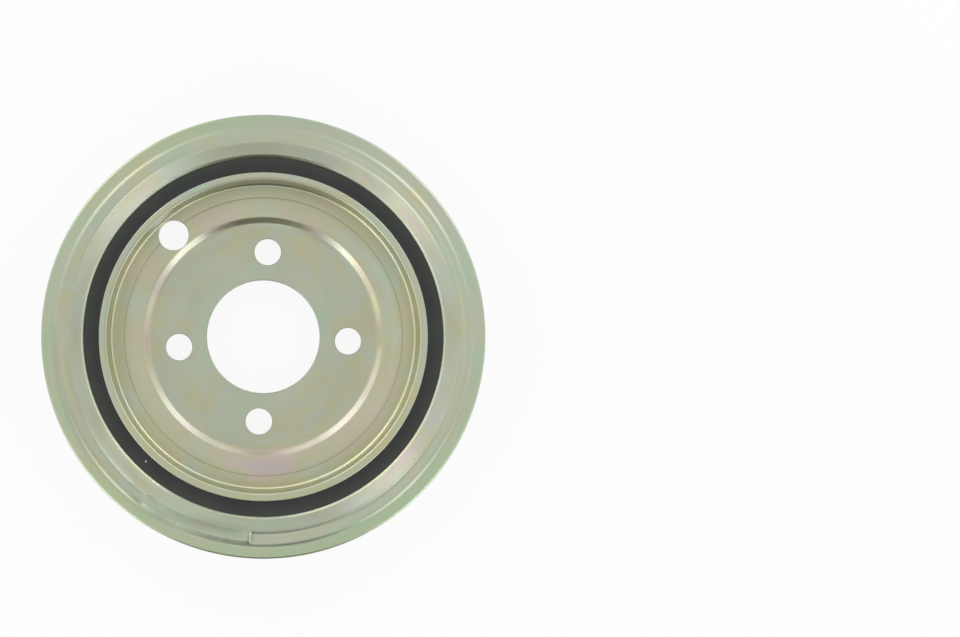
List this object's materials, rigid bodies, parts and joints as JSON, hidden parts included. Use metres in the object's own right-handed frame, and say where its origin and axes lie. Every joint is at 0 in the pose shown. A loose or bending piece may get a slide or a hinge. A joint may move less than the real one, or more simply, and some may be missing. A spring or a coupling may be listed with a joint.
{
  "type": "crankshaft pulley",
  "caption": "Crankshaft pulley with a ribbed belt rim, a bonded rubber damper ring and a dished hub with bolt and timing holes.",
  "frame": {"origin": "centre of the rear end face of the rim, on the axis of rotation", "axes": "+Z along the axis towards the open front of the dish, away from the engine; +X through the bolt hole that is opposite the one-way hole; lies flat on its rear end face"},
  "size_m": [0.144, 0.144, 0.0255],
  "materials": {
    "plated_ring": "turned, zinc plated with a yellow-green iridescent passivation",
    "plated_hub": "formed and turned, zinc plated with a yellow-green iridescent passivation",
    "damper_rubber": "matt black moulded rubber, bonded to both metal parts"
  },
  "bodies": {
    "root": {"inertia_ring": "plated_ring", "rubber_ring": "damper_rubber", "hub": "plated_hub"}
  },
  "joints": []
}
